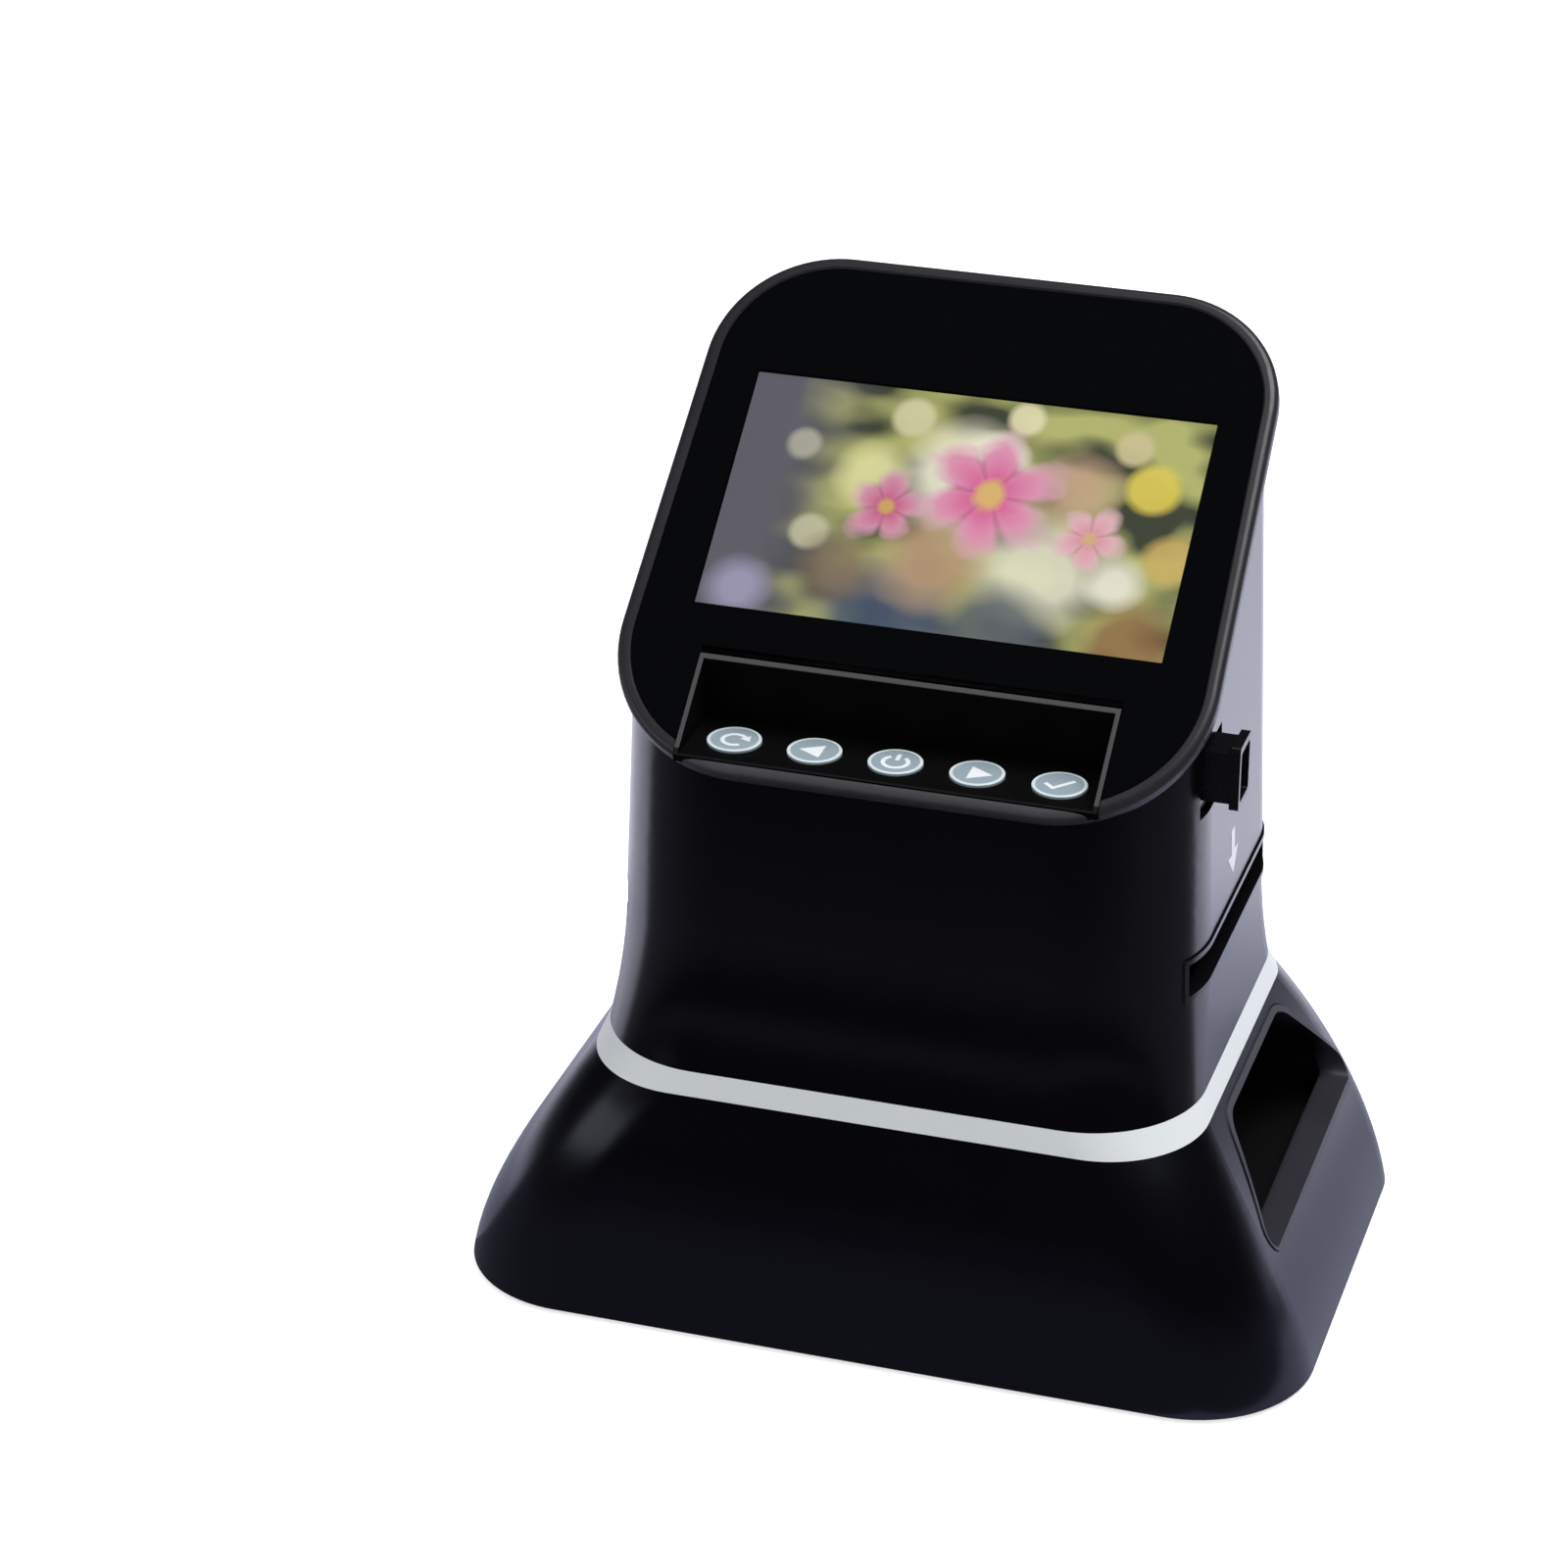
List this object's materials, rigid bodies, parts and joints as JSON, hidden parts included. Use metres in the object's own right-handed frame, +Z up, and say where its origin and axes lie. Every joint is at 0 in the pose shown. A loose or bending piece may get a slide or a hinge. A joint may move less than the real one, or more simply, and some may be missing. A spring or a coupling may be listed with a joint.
{
  "type": "film negative scanner",
  "caption": "Free-standing film scanner: tilted colour display and button recess on a tapering tower, through slot for film, bell-shaped base with side pocket.",
  "frame": {"origin": "middle of the floor under the base", "axes": "+X to the right as seen from the display, +Y to the back, +Z up"},
  "size_m": [0.1778, 0.1154, 0.1935],
  "materials": {
    "black_gloss": "glossy injection moulding",
    "black_satin": "satin moulding",
    "black_matte": "matt moulding",
    "rim_grey": "satin rim",
    "foot_rubber": "matt",
    "screw_steel": "zinc plated",
    "screw_black": "blackened",
    "band_white": "pale satin",
    "board_green": "solder mask",
    "board_white": "solder mask",
    "socket_steel": "bright",
    "socket_black": "matt",
    "cover_glass": "polished",
    "display_panel": "glossy panel",
    "retainer_steel": "pressed sheet",
    "tray_black": "glossy",
    "button_pale": "pale blue grey",
    "bezel_grey": "satin",
    "guide_black": "matt",
    "box_white": "matt reflector white",
    "opal_white": "opal",
    "emitter_yellow": "phosphor",
    "bridge_aluminium": "cast, tumbled",
    "barrel_aluminium": "black anodised",
    "rod_steel": "ground",
    "lens_glass": "coated",
    "sensor_glass": "dark",
    "lever_black": "satin",
    "spring_steel": "rolled"
  },
  "bodies": {
    "housing": {"base_shell": "black_gloss", "tower_shell": "black_gloss", "pocket_liner": "black_satin", "face_frame": "rim_grey", "base_plate": "black_matte", "rubber_feet": "foot_rubber", "base_screws": "screw_steel", "tower_screws": "screw_steel", "light_band": "band_white", "rear_cover": "black_satin", "rear_cover_screws": "screw_black", "main_board": "board_green", "main_board_posts": "screw_steel", "data_socket": "socket_steel", "card_socket": "socket_black", "screen_glass": "cover_glass", "display_module": "display_panel", "display_frame": "retainer_steel", "button_tray": "tray_black", "key_board": "board_green", "key_switches": "socket_black", "key_board_screws": "screw_steel", "slot_bezel_right": "bezel_grey", "slot_bezel_left": "bezel_grey", "lower_film_guide": "guide_black", "upper_film_guide": "guide_black", "light_box": "box_white", "diffuser": "opal_white", "led_board": "board_white", "light_emitters": "emitter_yellow", "optics_bridge": "bridge_aluminium", "guide_rods": "rod_steel", "detent_spring": "spring_steel"},
    "focus_carriage": {"lens_carriage": "guide_black", "lens_barrel": "barrel_aluminium", "front_lens": "lens_glass", "sensor_board": "board_green", "image_sensor": "sensor_glass", "format_lever": "lever_black"},
    "clear_button": {"clear_button": "button_pale"},
    "left_button": {"left_button": "button_pale"},
    "power_button": {"power_button": "button_pale"},
    "right_button": {"right_button": "button_pale"},
    "ok_button": {"ok_button": "button_pale"}
  },
  "joints": [
    {"name": "format_slide", "type": "slide", "parent": "housing", "child": "focus_carriage", "axis": [0, 0, -1], "range_m": [0, 0.003]},
    {"name": "clear_button_press", "type": "slide", "parent": "housing", "child": "clear_button", "axis": [0, 0, -1], "range_m": [0, 0.0007], "stiffness_N_per_m": 700},
    {"name": "left_button_press", "type": "slide", "parent": "housing", "child": "left_button", "axis": [0, 0, -1], "range_m": [0, 0.0007], "stiffness_N_per_m": 700},
    {"name": "power_button_press", "type": "slide", "parent": "housing", "child": "power_button", "axis": [0, 0, -1], "range_m": [0, 0.0007], "stiffness_N_per_m": 700},
    {"name": "right_button_press", "type": "slide", "parent": "housing", "child": "right_button", "axis": [0, 0, -1], "range_m": [0, 0.0007], "stiffness_N_per_m": 700},
    {"name": "ok_button_press", "type": "slide", "parent": "housing", "child": "ok_button", "axis": [0, 0, -1], "range_m": [0, 0.0007], "stiffness_N_per_m": 700}
  ]
}
